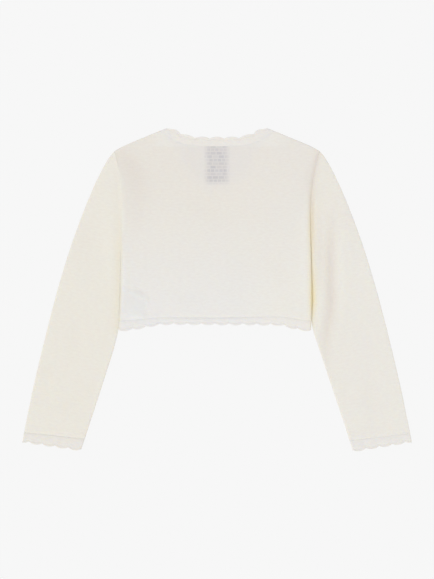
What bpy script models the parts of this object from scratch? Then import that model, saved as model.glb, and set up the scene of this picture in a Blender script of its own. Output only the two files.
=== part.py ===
"""A child's cropped cardigan in fine knit, laid flat on its fronts with its back on top.

X runs across the garment, Y up it towards the neck, and Z away from the surface it lies on.
Left and right are the wearer's. Sizes here are in millimetres on the garment as it lies, and
each mesh is made in metres.
"""

import math

import bmesh
import bpy
import numpy as np

MM = 0.001
SIDES = {"left": -1, "right": 1}

# Cloth
WALL = 1.5  # thickness of the knit
SEAM = 0.3  # space between two pieces that are sewn together
FOLD_HEIGHT = 2.6  # height of the middle of a folded edge, between the lower and the upper layer
FOLD_SPACE = 0.9  # space between the back and the fronts where they meet in that middle
ROLL = 2.5  # how far in a folded edge reaches before the cloth lies level
ROLL_ANGLES = (0, 12, 35, 62, 90)  # degrees round a folded edge at which it has a row of points

# Height of the upper layer's face above the surface
BACK_HEIGHT = 4.1  # the back, in its middle
EDGE_HEIGHT = 5.1  # beside the shoulders, the sides and the armhole seams, where the fold holds it up
SLEEVE_HEIGHT = 5.5  # the sleeves, in their middle
EDGE_REACH = 22.0  # how far from there the cloth takes to come to its own height
NECK_SAG = 1.9  # how far the back sinks into the neck opening of the fronts below it
NECK_SAG_MIDDLE = (0.0, 205.0)
NECK_SAG_REACH = (48.0, 45.0)

# Soft unevenness of the upper layers: (height, length of a wave across, length of a wave up, its start)
SWELLS = [(0.22, 260, 230, 0.6), (0.18, 150, -310, 1.9), (0.12, 420, 120, 3.1)]

# Edgings and bands
FRONT_BAND = 14.0  # width of the plain band on each front edge
FRONT_OPENING = 1.0  # space between the two front bands
FRONTS_SHORTER = 1.5  # how much less far the fronts' hem edging reaches down than the back's
CUFF_EDGING = 14.0  # height of the cuff edging
SCALLOP_DEPTH = 3.2  # from a scallop's valley to its crest
SCALLOP_PITCH = 21.0  # along the hem and the neck
CUFF_SCALLOPS = 9  # round one cuff
SCALLOP_STEPS = 6  # points along one scallop
SCALLOP_ROUNDNESS = 0.7  # below 1 the crests are broad and the valleys narrow
SCALLOP_END = 14.0  # length over which the scallops fade out towards a neck point

# The shoulder, from the neck point to the top of the armhole seam: (out, up)
SHOULDER = [(75, 241.8), (92, 235.1), (110, 227.5), (130, 219.3), (144, 212.9), (153.7, 207.3)]

# The sleeve's outer edge, from just beyond there to the cuff: (out, up)
SLEEVE_OUTER = [
    (154.2, 206.8),
    (163.4, 195),
    (179.5, 165),
    (198, 122),
    (217.9, 68),
    (234.7, 14),
    (249.5, -40),
    (262.9, -94),
    (275.5, -148),
    (286.7, -202),
    (291.4, -226),
]

# The body's two sides, from the top of the armhole seam to the hem's corner: (out, up)
BODY_SIDE = {
    "left": [
        (153.7, 207.3),
        (151.3, 198),
        (146, 170),
        (143.5, 120),
        (143.5, 60),
        (144.5, 0),
        (146, -40),
        (147, -62),
    ],
    "right": [
        (153.7, 207.3),
        (150.4, 198),
        (144, 172),
        (140, 140),
        (138.6, 110),
        (138.9, 80),
        (140, 44),
        (141, -10),
        (140.6, -40),
        (140.4, -62),
    ],
}
UNDERARM = {"left": 55.0, "right": 50.0}  # height where the armhole seam ends and the side seam begins
CREASE_TOP = {"left": 95.0, "right": 150.0}  # height where the upper layer begins to roll into the armhole
CREASE_FULL = {"left": 60.0, "right": 112.0}  # height below which it is rolled right down
UNDER_CREASE = 25.0  # length over which the lower layer does so, above the underarm

# The sleeve's inner edge below the underarm, beside the body and past the hem: (out, up)
SLEEVE_INNER = {
    "left": [
        (145.6, 0),
        (147, -40),
        (148.8, -66),
        (156, -94),
        (164.6, -121),
        (176.2, -157),
        (190.9, -202),
        (203, -239),
    ],
    "right": [
        (144, 0),
        (143.8, -40),
        (145.5, -67),
        (154.5, -94),
        (163.5, -121),
        (175.6, -157),
        (190.7, -202),
        (203, -240.5),
    ],
}
CAP_START = 203.0  # height on the armhole seam of the sleeve's first row, round the shoulder fold

# The soft trough down the right sleeve: (out, up), and its depth and half width
TROUGH = [(176, 106), (175.5, 50), (175, -16), (166, -75)]
TROUGH_DEPTH = 1.8
TROUGH_WIDTH = 9.0

# The hem, from side to side: (across, height of its seam, height of its edge at a valley)
HEM = [
    (-150, -46.7, -60.5),
    (-120, -45.2, -57.3),
    (-100, -44.3, -53.2),
    (-75, -43.6, -50.3),
    (0, -42.9, -50.6),
    (80, -43.1, -51),
    (100, -44, -52.5),
    (116, -45.2, -57),
    (145, -47.4, -61),
]

# The neck, from the middle out: (out, up) of its seam, which ends on the shoulder, and of its
# edge at a valley
NECK_SEAM_END = 86.0
BACK_NECK_SEAM = [(0, 214.5), (20, 214.8), (40, 216.2), (58, 220), (73, 228)]
BACK_NECK_EDGE = [(0, 225.7), (20, 225.9), (38, 227.1), (51, 230.8), (62, 236.3), (75, 241.8)]
FRONT_NECK_SEAM = [(0, 138), (14, 139.5), (31, 146), (50, 163), (66, 189), (78, 216)]
FRONT_NECK_EDGE = [(0, 150), (12, 151.2), (25, 156.5), (41, 171.5), (55.5, 195), (66.5, 220), (75, 241.8)]

# Steps across and up each piece, apart from those round its folded edges
BACK_STEPS = (30, 22)
FRONT_STEPS = (26, 20)
SLEEVE_STEPS = (7, 22)
BAND_STEPS = (2, 10)
EDGING_STEPS = 2
LINE_STEPS = 12  # points on a smooth line between two that are given
CUT_STEPS = 80  # points on a stretch that is cut out of such a line
CROSSING_TRIES = 6  # rounds in which the place where two lines meet is closed in on
LOOK_BACK = 0.02  # share of a sleeve over which its run near the cuff is measured
EDGE_SLACK = 0.01  # a point this near a folded edge is on it, and two this near each other are one

KNIT_COLOUR = (0.80, 0.76, 0.68, 1.0)
EDGING_COLOUR = (0.84, 0.81, 0.74, 1.0)
KNIT_ROUGHNESS = 0.95


def smooth_line(points):
    """A dense line that passes softly through the given points."""
    given = np.array(points, float)
    ends = np.vstack([2 * given[0] - given[1], given, 2 * given[-1] - given[-2]])
    line = []
    for a, b, c, d in zip(ends, ends[1:], ends[2:], ends[3:]):
        for t in np.arange(LINE_STEPS) / LINE_STEPS:
            bend = (2 * a - 5 * b + 4 * c - d) * t**2 + (3 * b - 3 * c + d - a) * t**3
            line.append(b + 0.5 * ((c - a) * t + bend))
    return np.array(line + [given[-1]])


def mirrored(points, side):
    """Points given for the right side, on either side."""
    return np.array(points, float) * (SIDES[side], 1)


def both_halves(points):
    """A smooth line from left to right through the points of its right half."""
    left = [(-x, y) for x, y in reversed(points[1:])]
    return smooth_line(left + points)


def height_at(line, across):
    """How high a line that runs across the garment is at a place across."""
    order = np.argsort(line[:, 0])
    return np.interp(across, line[order, 0], line[order, 1])


def length_of(line):
    return float(np.hypot(*np.diff(line, axis=0).T).sum())


def along(line, share):
    """The point at a share of the line's length."""
    travelled = np.concatenate([[0], np.cumsum(np.hypot(*np.diff(line, axis=0).T))])
    where = share * travelled[-1]
    return np.array([np.interp(where, travelled, line[:, k]) for k in (0, 1)])


def across_at(line, height):
    """How far across a line that runs down the garment is at a height."""
    return np.interp(-np.asarray(height), -line[:, 1], line[:, 0])


def upright(line, low, high):
    """The part of a line that runs down the garment between two heights, turned to run up."""
    heights = np.linspace(low, high, CUT_STEPS)
    return np.column_stack([across_at(line, heights), heights])


def between(line, start, end):
    """The part of a line from one place across to another, which may be to the left of it."""
    across = np.linspace(start, end, CUT_STEPS)
    return np.column_stack([across, height_at(line, across)])


def crossing(line, down):
    """Where a line that runs across the garment meets one that runs down it."""
    across = down[-1, 0]
    for step in range(CROSSING_TRIES):
        across = float(across_at(down, height_at(line, across)))
    return across, float(height_at(line, across))


def shifted(line, distance):
    """A line moved sideways: to its left as it runs, where the distance is positive."""
    run = np.gradient(line, axis=0)
    run /= np.hypot(*run.T)[:, None]
    return line + distance * np.column_stack([-run[:, 1], run[:, 0]])


def nearest(point, line):
    """How far a point is from a line, and the point of the line nearest to it."""
    start, step = line[:-1], np.diff(line, axis=0)
    share = np.clip(((point - start) * step).sum(1) / (step**2).sum(1), 0, 1)
    feet = start + share[:, None] * step
    gaps = np.hypot(*(feet - point).T)
    best = gaps.argmin()
    return gaps[best], feet[best]


def fade(value, start, end):
    """0 at start, 1 at end and soft between them."""
    t = min(max((value - start) / (end - start), 0), 1)
    return t * t * (3 - 2 * t)


def roundness(gap):
    """0 at a folded edge and 1 where the cloth is level, along a quarter of a circle."""
    share = min(max(gap - EDGE_SLACK, 0) / ROLL, 1)
    return math.sqrt(1 - (1 - share) ** 2)


def shares(length, steps, near=0.0, far=0.0):
    """Shares of a length: close together over a folded edge at either end, and even between them."""
    turn = [1 - math.cos(math.radians(angle)) for angle in ROLL_ANGLES]
    first = [near * k / length for k in turn] if near else [0.0]
    last = [1 - far * k / length for k in reversed(turn)] if far else [1.0]
    middle = np.linspace(first[-1], last[0], steps + 1)[1:-1]
    return first + list(middle) + last


SHOULDER_LINE = {side: smooth_line(mirrored(SHOULDER, side)) for side in SIDES}
BODY_EDGE = {side: smooth_line(mirrored(BODY_SIDE[side], side)) for side in SIDES}
TROUGH_LINE = smooth_line(TROUGH)
HEM_SEAM = smooth_line([(across, seam) for across, seam, edge in HEM])
HEM_EDGE = smooth_line([(across, edge) for across, seam, edge in HEM])
TOP = SHOULDER[-1][1]
ON_SHOULDER = (NECK_SEAM_END, float(height_at(SHOULDER_LINE["right"], NECK_SEAM_END)))
BACK_NECK = both_halves(BACK_NECK_SEAM + [ON_SHOULDER])
FRONT_NECK = smooth_line(FRONT_NECK_SEAM + [ON_SHOULDER])


def swell(x, y):
    """The soft unevenness of cloth that was smoothed out by hand."""
    turn = 2 * math.pi
    return sum(high * math.sin(turn * (x / across + y / up) + start) for high, across, up, start in SWELLS)


def fold_of_body(x, y, creased):
    """1 where the body's cloth is level, down to 0 at its shoulders and its sides.

    Beside an armhole the cloth is level too, apart from the crease that leads into the underarm.
    """
    level = 1.0
    for side in SIDES:
        level = min(level, roundness(nearest((x, y), SHOULDER_LINE[side])[0]))
        gap, foot = nearest((x, y), BODY_EDGE[side])
        rolled = creased(side, foot[1])
        level = min(level, 1 - rolled * (1 - roundness(gap)))
    return level


def upper_crease(side, height):
    return fade(height, CREASE_TOP[side], CREASE_FULL[side])


def lower_crease(side, height):
    return fade(height, UNDERARM[side] + UNDER_CREASE, UNDERARM[side])


def upper_body(x, y):
    """A point on the outer face of the upper layer, which is the back."""
    gap = min(nearest((x, y), line[side])[0] for line in (BODY_EDGE, SHOULDER_LINE) for side in SIDES)
    held = math.exp(-gap / EDGE_REACH)
    offset = (np.array((x, y)) - NECK_SAG_MIDDLE) / NECK_SAG_REACH
    sag = NECK_SAG * max(1 - (offset**2).sum(), 0)
    level = EDGE_HEIGHT * held + (BACK_HEIGHT + swell(x, y)) * (1 - held) - sag
    edge = FOLD_HEIGHT + FOLD_SPACE / 2
    return x, y, edge + (level - edge) * fold_of_body(x, y, upper_crease)


def lower_body(x, y):
    """A point on the outer face of the lower layer, which rests on the surface."""
    edge = FOLD_HEIGHT - FOLD_SPACE / 2
    return x, y, edge * (1 - fold_of_body(x, y, lower_crease))


def knit(name, colour):
    """Fine ivory knit: matt all over."""
    material = bpy.data.materials.new(name)
    material.use_nodes = True
    shader = material.node_tree.nodes["Principled BSDF"]
    shader.inputs["Base Color"].default_value = colour
    shader.inputs["Roughness"].default_value = KNIT_ROUGHNESS
    shader.inputs["Metallic"].default_value = 0.0
    return material


def cloth(name, columns, rows, place, colour, origin=(0, 0), wall_above=False, sewn=False):
    """A knitted piece: a grid laid out point by point as its outer face, and given its wall inwards.

    place takes a column and a row. A grid faces up as it is made, so one that rests on the surface
    is turned over. A sewn piece's first and last columns are joined where they meet.
    """
    shape = bmesh.new()
    bmesh.ops.create_grid(shape, x_segments=columns - 1, y_segments=rows - 1, size=0.5)
    start = (*origin, 0)
    for vert in shape.verts:
        column = round((vert.co.x + 0.5) * (columns - 1))
        row = round((vert.co.y + 0.5) * (rows - 1))
        vert.co = [(value - first) * MM for value, first in zip(place(column, row), start)]
    if sewn:
        bmesh.ops.remove_doubles(shape, verts=shape.verts, dist=EDGE_SLACK * MM)
    if wall_above:
        bmesh.ops.reverse_faces(shape, faces=shape.faces)
    mesh = bpy.data.meshes.new(name)
    shape.to_mesh(mesh)
    shape.free()
    mesh.shade_smooth()
    piece = bpy.data.objects.new(name, mesh)
    piece.location = [value * MM for value in start]
    wall = piece.modifiers.new("wall", "SOLIDIFY")
    wall.thickness = WALL * MM
    wall.offset = -1
    mesh.materials.append(knit(name, colour))
    piece.parent = bpy.data.objects["garment"]
    bpy.data.collections["cardigan"].objects.link(piece)


def panel(bottom, top, left, right):
    """Lays a piece out between four lines that meet at its corners, by a share across and a share up."""

    def lay(u, v):
        low, high, near, far = along(bottom, u), along(top, u), along(left, v), along(right, v)
        corners = (1 - v) * ((1 - u) * left[0] + u * right[0]) + v * ((1 - u) * left[-1] + u * right[-1])
        return (1 - v) * low + v * high + (1 - u) * near + u * far - corners

    return lay


def back():
    """The back, from the hem's seam to the shoulders and the neck's seam."""
    bottom_line = HEM_SEAM + (0, SEAM)
    corners = {side: crossing(bottom_line, BODY_EDGE[side]) for side in SIDES}
    left, right = (upright(BODY_EDGE[side], corners[side][1], TOP) for side in SIDES)
    neck = shifted(BACK_NECK, -SEAM)
    to_neck = between(SHOULDER_LINE["left"], left[-1, 0], neck[0, 0])
    from_neck = between(SHOULDER_LINE["right"], neck[-1, 0], right[-1, 0])
    top = np.vstack([to_neck, neck[1:-1], from_neck])
    bottom = between(bottom_line, corners["left"][0], corners["right"][0])
    lay = panel(bottom, top, left, right)
    across = shares(length_of(bottom), BACK_STEPS[0], ROLL, ROLL)
    up = shares(length_of(left), BACK_STEPS[1], 0, ROLL)
    cloth("back", len(across), len(up), lambda i, j: upper_body(*lay(across[i], up[j])), KNIT_COLOUR)


def front(side):
    """One front, from its band to its side seam. It lies below the back, face down."""
    bottom_line = HEM_SEAM + (0, SEAM)
    corner = crossing(bottom_line, BODY_EDGE[side])
    outer = upright(BODY_EDGE[side], corner[1], TOP)
    seam = mirrored(shifted(FRONT_NECK, -SEAM), side)
    band_edge = SIDES[side] * (FRONT_BAND + SEAM / 2)
    neck = between(seam, band_edge, seam[-1, 0])
    shoulder = between(SHOULDER_LINE[side], seam[-1, 0], outer[-1, 0])
    top = np.vstack([neck[:-1], shoulder])
    bottom = between(bottom_line, band_edge, corner[0])
    inner = np.array([bottom[0], top[0]])
    lay = panel(bottom, top, inner, outer)
    across = shares(length_of(bottom), FRONT_STEPS[0], 0, ROLL)
    up = shares(length_of(outer), FRONT_STEPS[1], 0, ROLL)

    def place(i, j):
        return lower_body(*lay(across[i], up[j]))

    cloth("front_" + side, len(across), len(up), place, KNIT_COLOUR, (band_edge, 0), side == "right")


def front_band(side):
    """The plain band along one front edge."""
    near, far = (SIDES[side] * out for out in (FRONT_OPENING / 2, FRONT_BAND - SEAM / 2))
    seam = mirrored(shifted(FRONT_NECK, -SEAM), side)
    bottom, top = between(HEM_SEAM + (0, SEAM), near, far), between(seam, near, far)
    columns, rows = (steps + 1 for steps in BAND_STEPS)

    def place(i, j):
        u, v = i / (columns - 1), j / (rows - 1)
        return lower_body(*((1 - v) * along(bottom, u) + v * along(top, u)))

    cloth("front_band_" + side, columns, rows, place, EDGING_COLOUR, (near, 0), side == "right")


def scallop(travelled):
    """How far a scalloped edge stands out, at so many scallops along it."""
    return SCALLOP_DEPTH * abs(math.sin(math.pi * travelled)) ** SCALLOP_ROUNDNESS


def scallop_shares(length, count, near, far):
    """Shares of a length at the points of its scallops, and over a folded edge at either end."""
    folds = shares(length, 1, near, far)
    points = [k / (count * SCALLOP_STEPS) for k in range(1, count * SCALLOP_STEPS)]
    return sorted(folds + [p for p in points if near / length < p < 1 - far / length])


def edging(name, seam, edge, start, end, folded, surface, wall_above, fading=(0, 0)):
    """A scalloped strip between its seam and its edge, which run the same way and end at two end lines."""
    length = length_of(seam)
    count = round(length_of(edge) / SCALLOP_PITCH)
    across = scallop_shares(length, count, *(ROLL if fold else 0 for fold in folded))
    lay = panel(seam, edge, start, end)

    def place(i, j):
        share, up = across[i], j / EDGING_STEPS
        gaps = (share * length, (1 - share) * length)
        fades = [fade(gap, 0, over) if over else 1 for gap, over in zip(gaps, fading)]
        run = lay(share, 1) - lay(share, 0)
        rise = run / np.hypot(*run) * scallop(share * count) * min(fades) * up
        return surface(*(lay(share, up) + rise))

    cloth(name, len(across), EDGING_STEPS + 1, place, EDGING_COLOUR, wall_above=wall_above)


def hem_edging():
    """The hem's edging on the back, and on the two fronts below it."""

    def side_end(side, edge):
        low, high = crossing(edge, BODY_EDGE[side])[1], crossing(HEM_SEAM, BODY_EDGE[side])[1]
        return upright(BODY_EDGE[side], low, high)[::-1]

    left, right = (side_end(side, HEM_EDGE) for side in SIDES)
    seam = between(HEM_SEAM, right[0, 0], left[0, 0])
    edge = between(HEM_EDGE, right[-1, 0], left[-1, 0])
    edging("hem_edging_back", seam, edge, right, left, (True, True), upper_body, False)
    fronts_edge = HEM_EDGE + (0, FRONTS_SHORTER)
    for side, sign in SIDES.items():
        end = side_end(side, fronts_edge)
        seam = between(HEM_SEAM, sign * FRONT_OPENING / 2, end[0, 0])
        edge = between(fronts_edge, sign * FRONT_OPENING / 2, end[-1, 0])
        start = np.array([seam[0], edge[0]])
        edging("hem_edging_" + side, seam, edge, start, end, (False, True), lower_body, side == "left")


def neck_edging():
    """The neck's edging, parted at the shoulders into a strip on the back and one on each front."""
    ends = {
        side: between(SHOULDER_LINE[side], sign * NECK_SEAM_END, sign * SHOULDER[0][0])
        for side, sign in SIDES.items()
    }
    left, right = ends.values()
    edge = both_halves(BACK_NECK_EDGE)
    fading = (SCALLOP_END, SCALLOP_END)
    edging("neck_edging_back", BACK_NECK, edge, left, right, (True, True), upper_body, False, fading)
    for side, sign in SIDES.items():
        middle = sign * FRONT_OPENING / 2
        seam = between(mirrored(FRONT_NECK, side), middle, sign * NECK_SEAM_END)
        edge = between(mirrored(smooth_line(FRONT_NECK_EDGE), side), middle, sign * SHOULDER[0][0])
        start = np.array([seam[0], edge[0]])
        name, turned = "neck_edging_" + side, side == "right"
        edging(name, seam, edge, start, ends[side], (False, True), lower_body, turned, (0, SCALLOP_END))


def sleeve_lines(side):
    """The sleeve's inner and outer edges, both from the shoulder to the cuff's edge."""
    armhole = upright(BODY_EDGE[side], UNDERARM[side], CAP_START)[::-1] + (SIDES[side] * SEAM, 0)
    below = smooth_line(np.vstack([armhole[-1], mirrored(SLEEVE_INNER[side], side)]))
    outer = smooth_line(mirrored(SLEEVE_OUTER, side))
    return np.vstack([armhole, below[1:]]), outer


def sleeve_surface(side):
    """Lays a sleeve out: by a share along it, a share across from its inner edge, and on either layer."""
    inner_edge, outer_edge = sleeve_lines(side)

    def level(x, y):
        held = math.exp(-nearest((x, y), BODY_EDGE[side])[0] / EDGE_REACH)
        height = EDGE_HEIGHT * held + (SLEEVE_HEIGHT + swell(x, y)) * (1 - held)
        if side == "right":
            gap = nearest((x, y), TROUGH_LINE)[0]
            height -= TROUGH_DEPTH * math.exp(-((gap / TROUGH_WIDTH) ** 2))
        return height

    def flat(t, share):
        return (1 - share) * along(inner_edge, t) + share * along(outer_edge, t)

    def lay(t, share, upper, beyond=0.0):
        point = flat(t, share)
        if beyond:
            run = point - flat(t - LOOK_BACK, share)
            point = point + run / np.hypot(*run) * beyond
        width = np.hypot(*(flat(t, 1) - flat(t, 0)))
        crease = (upper_crease if upper else lower_crease)(side, flat(t, 0)[1])
        inner_fold = 1 - crease * (1 - roundness(share * width))
        fold = min(inner_fold, roundness((1 - share) * width))
        x, y = point
        if upper:
            return x, y, FOLD_HEIGHT + (level(x, y) - FOLD_HEIGHT) * fold
        return x, y, FOLD_HEIGHT * (1 - fold)

    return lay, inner_edge, outer_edge


def round_sleeve(position):
    """Turns a way round the sleeve, from 0 to 2, into a share across it and its layer."""
    return (position, True) if position <= 1 else (2 - position, False)


def sleeve(side):
    """One sleeve: a tube that lies flat, open at the armhole and at the cuff's seam."""
    lay, inner_edge, outer_edge = sleeve_surface(side)
    last = 1 - (CUFF_EDGING + SEAM) / length_of(inner_edge)
    rows = np.linspace(0, last, SLEEVE_STEPS[1] + 1)
    ways = []
    for t in rows:
        width = np.hypot(*(along(outer_edge, t) - along(inner_edge, t)))
        fold = min(ROLL, width / 4)
        upper = shares(width, SLEEVE_STEPS[0], fold, fold)
        ways.append(upper + [2 - share for share in reversed(upper[:-1])])
    tip = tuple(mirrored(SHOULDER[-1], side))

    def place(i, j):
        return lay(rows[j], *round_sleeve(ways[j][i]))

    cloth("sleeve_" + side, len(ways[0]), len(rows), place, KNIT_COLOUR, tip, side == "right", True)


def cuff_edging(side):
    """The scalloped edging all round one cuff."""
    lay, inner_edge, outer_edge = sleeve_surface(side)
    first = 1 - CUFF_EDGING / length_of(inner_edge)
    width = np.hypot(*(along(outer_edge, 1) - along(inner_edge, 1)))
    upper = shares(width, 1, ROLL, ROLL)
    folds = upper + [2 - share for share in reversed(upper[:-1])]
    count = CUFF_SCALLOPS * SCALLOP_STEPS
    points = [2 * k / count for k in range(count)]
    free = [p for p in points if min(abs(p - fold) for fold in folds) > ROLL / width / 2]
    ways = sorted(folds + free)

    def place(i, j):
        rise = scallop(ways[i] / 2 * CUFF_SCALLOPS) if j == EDGING_STEPS else 0
        t = first + (1 - first) * j / EDGING_STEPS
        return lay(t, *round_sleeve(ways[i]), beyond=rise)

    name, rows = "cuff_edging_" + side, EDGING_STEPS + 1
    corner = tuple(mirrored(SLEEVE_OUTER[-1], side))
    cloth(name, len(ways), rows, place, EDGING_COLOUR, corner, side == "right", True)


def main():
    for old in list(bpy.data.objects):
        bpy.data.objects.remove(old, do_unlink=True)
    collection = bpy.data.collections.new("cardigan")
    bpy.context.scene.collection.children.link(collection)
    collection.objects.link(bpy.data.objects.new("garment", None))
    back()
    neck_edging()
    hem_edging()
    for side in SIDES:
        front(side)
        front_band(side)
        sleeve(side)
        cuff_edging(side)


main()
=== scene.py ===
# %% [markdown]
# # A child's cropped cardigan, laid face down
# The real thing is a bolero-length cardigan in fine ivory knit. It lies on its fronts, with its
# back on top and its sleeves folded down beside the body. The imported model gives the true shape
# and size. This lesson covers each of its pieces with a thin sheet of cloth on the same form, with
# the finer creases, seams and scallops, and then works out what ivory knit looks like.
#
# The frame comes first.

# %% Load the imported model
import math

import bpy
import numpy as np
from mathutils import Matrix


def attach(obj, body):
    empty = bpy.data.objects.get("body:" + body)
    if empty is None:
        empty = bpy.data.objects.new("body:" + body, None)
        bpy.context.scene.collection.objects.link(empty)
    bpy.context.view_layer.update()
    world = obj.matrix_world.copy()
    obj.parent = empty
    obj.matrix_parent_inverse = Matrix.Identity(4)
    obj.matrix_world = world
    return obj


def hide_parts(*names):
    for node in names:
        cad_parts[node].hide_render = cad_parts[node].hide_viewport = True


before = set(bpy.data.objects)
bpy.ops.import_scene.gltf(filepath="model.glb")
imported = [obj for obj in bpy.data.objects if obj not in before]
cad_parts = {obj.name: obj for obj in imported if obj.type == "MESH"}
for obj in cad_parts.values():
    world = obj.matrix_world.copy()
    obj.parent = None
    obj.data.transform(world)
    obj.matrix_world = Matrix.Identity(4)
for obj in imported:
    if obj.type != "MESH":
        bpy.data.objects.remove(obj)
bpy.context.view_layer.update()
print("nodes:", ", ".join(sorted(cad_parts)))

# %% [markdown]
# ## The camera
# The view is from straight above, with the garment in the middle. A long lens far away keeps the
# edges square, as a product photographer would. One pixel of the picture covers 1.5 mm of cloth,
# and the camera's height follows from that and from the lens.

# %% Camera above the garment
MM = 0.001
PICTURE_HEIGHT = 579  # pixels
PIXEL = 1.5  # mm of cloth in one pixel
LENS = 85.0  # mm
SENSOR = 36.0  # mm, along the picture's longer side

height = PICTURE_HEIGHT * PIXEL * MM * LENS / SENSOR
bpy.ops.object.camera_add(location=(0, 0, height))
camera = bpy.context.object
camera.data.lens = LENS
camera.data.sensor_width = SENSOR
bpy.context.scene.camera = camera
print("camera height, m:", round(height, 3))

# %% [markdown]
# ## The floor and the light
# The table glows, so the garment hardly throws a shadow on it. Light comes from all round, as in
# a light tent, and one broad soft light from the lower left draws the creases: a slope that faces
# it is brighter, and one that turns away is darker. Colours are written as they look on a screen,
# so a function turns them into Blender's linear values, and the Standard view keeps them so.

# %% Floor, surroundings and soft light
FLOOR_SIZE = 8.0  # m
FLOOR_DROP = 0.1  # mm below the cloth, so that the two never share a plane
FLOOR_GLOW = 0.90  # brightness that the table gives by itself
SURROUND = 0.865  # brightness of the light tent
SOFT_LIGHT = 0.63  # strength of the broad light
LIGHT_FROM = (-0.60, -0.62, 1.0)  # towards it: left, down the garment and up
LIGHT_BREADTH = 50.0  # degrees across, as the cloth sees it
TABLE_COLOUR = "#303030"  # dark, so that what the table shows is its own glow
WHITE = (1, 1, 1, 1)


def linear(hex_colour):
    """A screen colour turned linear, with full alpha."""
    parts = [int(hex_colour[i : i + 2], 16) / 255 for i in (1, 3, 5)]
    return (*(p / 12.92 if p <= 0.04045 else ((p + 0.055) / 1.055) ** 2.4 for p in parts), 1.0)


def add(tree, kind, inputs=None, **settings):
    """Adds a shader node. An input takes a value or another node's output."""
    node = tree.nodes.new("ShaderNode" + kind)
    for name, value in settings.items():
        setattr(node, name, value)
    for name, value in (inputs or {}).items():
        if isinstance(value, bpy.types.NodeSocket):
            tree.links.new(value, node.inputs[name])
        else:
            node.inputs[name].default_value = value
    return node


def new_material(name):
    """An empty material, and its tree."""
    material = bpy.data.materials.new(name)
    material.use_nodes = True
    material.node_tree.nodes.clear()
    return material, material.node_tree


def end_material(tree, inputs):
    """Ends a material in one shader with these inputs."""
    shader = add(tree, "BsdfPrincipled", inputs)
    add(tree, "OutputMaterial", {"Surface": shader.outputs[0]})


bpy.ops.mesh.primitive_plane_add(size=FLOOR_SIZE, location=(0, 0, -FLOOR_DROP * MM))
floor = bpy.context.object
floor.name = "floor"
table, tree = new_material("milky acrylic lit from below")
glow = {"Emission Color": WHITE, "Emission Strength": FLOOR_GLOW}
matt = {"Base Color": linear(TABLE_COLOUR), "Roughness": 1.0, "Specular IOR Level": 0.0}
end_material(tree, {**matt, **glow})
floor.data.materials.append(table)

world = bpy.data.worlds.new("light tent")
bpy.context.scene.world = world
world.use_nodes = True
background = world.node_tree.nodes["Background"].inputs
background["Color"].default_value, background["Strength"].default_value = WHITE, SURROUND

bpy.ops.object.light_add(type="SUN")
lamp = bpy.context.object
lamp.data.energy = SOFT_LIGHT
lamp.data.angle = math.radians(LIGHT_BREADTH)
away = np.array(LIGHT_FROM) / np.linalg.norm(LIGHT_FROM)
lamp.rotation_euler = (math.acos(away[2]), 0, math.atan2(away[0], -away[1]))
bpy.context.scene.view_settings.view_transform = "Standard"
print("light comes from", [round(float(v), 2) for v in away])

# %% [markdown]
# ## The cut
# Each pattern piece's outline is a short table of the places it passes through, in millimetres on
# the garment as it lies. Left and right are the wearer's. The outlines keep within about three
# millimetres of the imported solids' own, so that every sheet lies on its solid.

# %% Outlines of the pattern pieces
SIDES = {"left": -1, "right": 1}

# The shoulder, from the neck point to the top of the armhole seam: (out, up)
SHOULDER = [(75, 241.8), (92, 235.1), (110, 227.5), (130, 219.3), (144, 212.9), (153.7, 207.3)]

# The sleeve's outer edge, from just beyond there to the cuff: (out, up)
SLEEVE_OUTER = [
    (154.2, 206.8), (163.4, 195), (179.5, 165), (198, 122), (217.9, 68), (234.7, 14), (249.5, -40),
    (262.9, -94), (275.5, -148), (286.7, -202), (291.4, -226),
]

# The body's two sides, from the top of the armhole seam to the hem's corner: (out, up)
BODY_SIDE = {
    "left": [
        (153.7, 207.3), (151.3, 198), (146, 170), (143.5, 120), (143.5, 60), (144.5, 0), (146, -40),
        (147, -62),
    ],
    "right": [
        (153.7, 207.3), (150.8, 198), (145.2, 172), (141.6, 140), (140.5, 110), (140.6, 80),
        (141.2, 44), (142.3, -10), (141.6, -40), (141, -62),
    ],
}
ROLLS_DOWN = {  # heights where a layer beside the body begins to roll down, and is right down
    "upper": {"left": (75, 0), "right": (150, 105)},
    "lower": {"left": (80, 55), "right": (75, 50)},
}

# The sleeve's inner edge past the hem, (out, up). Above that it lies along the body's side.
ALONGSIDE = -46.0
SLEEVE_INNER = {
    "left": [(148.8, -66), (156, -94), (164.6, -121), (176.2, -157), (190.9, -202), (203, -239)],
    "right": [(145.5, -67), (154.5, -94), (163.5, -121), (175.6, -157), (190.7, -202), (203, -240.5)],
}
CAP_START = 203.0  # height on the armhole seam of the sleeve's first row

# The hem, from side to side: (across, height of its seam, height of its edge at a valley)
HEM = [
    (-150, -47.3, -60.5), (-120, -45.2, -57.3), (-100, -43.3, -53.2), (-75, -41.8, -50.3),
    (0, -42.2, -50.6), (80, -40.6, -51), (100, -41.2, -52.5), (116, -43.8, -57), (145, -47.8, -61),
]

# The neck, from the middle out: (out, up) of its seam, which ends on the shoulder, and of its edge
NECK_SEAM_END = 86.0
BACK_NECK_SEAM = [(0, 214.5), (20, 214.8), (40, 216.2), (58, 220), (73, 228)]
BACK_NECK_EDGE = [(0, 225.7), (20, 225.9), (38, 227.1), (51, 230.8), (62, 236.3), (75, 241.8)]
FRONT_NECK_SEAM = [(0, 138), (14, 139.5), (31, 146), (50, 163), (66, 189), (78, 216)]
FRONT_NECK_EDGE = [
    (0, 150), (12, 151.2), (25, 156.5), (41, 171.5), (55.5, 195), (66.5, 220), (75, 241.8),
]

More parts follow.
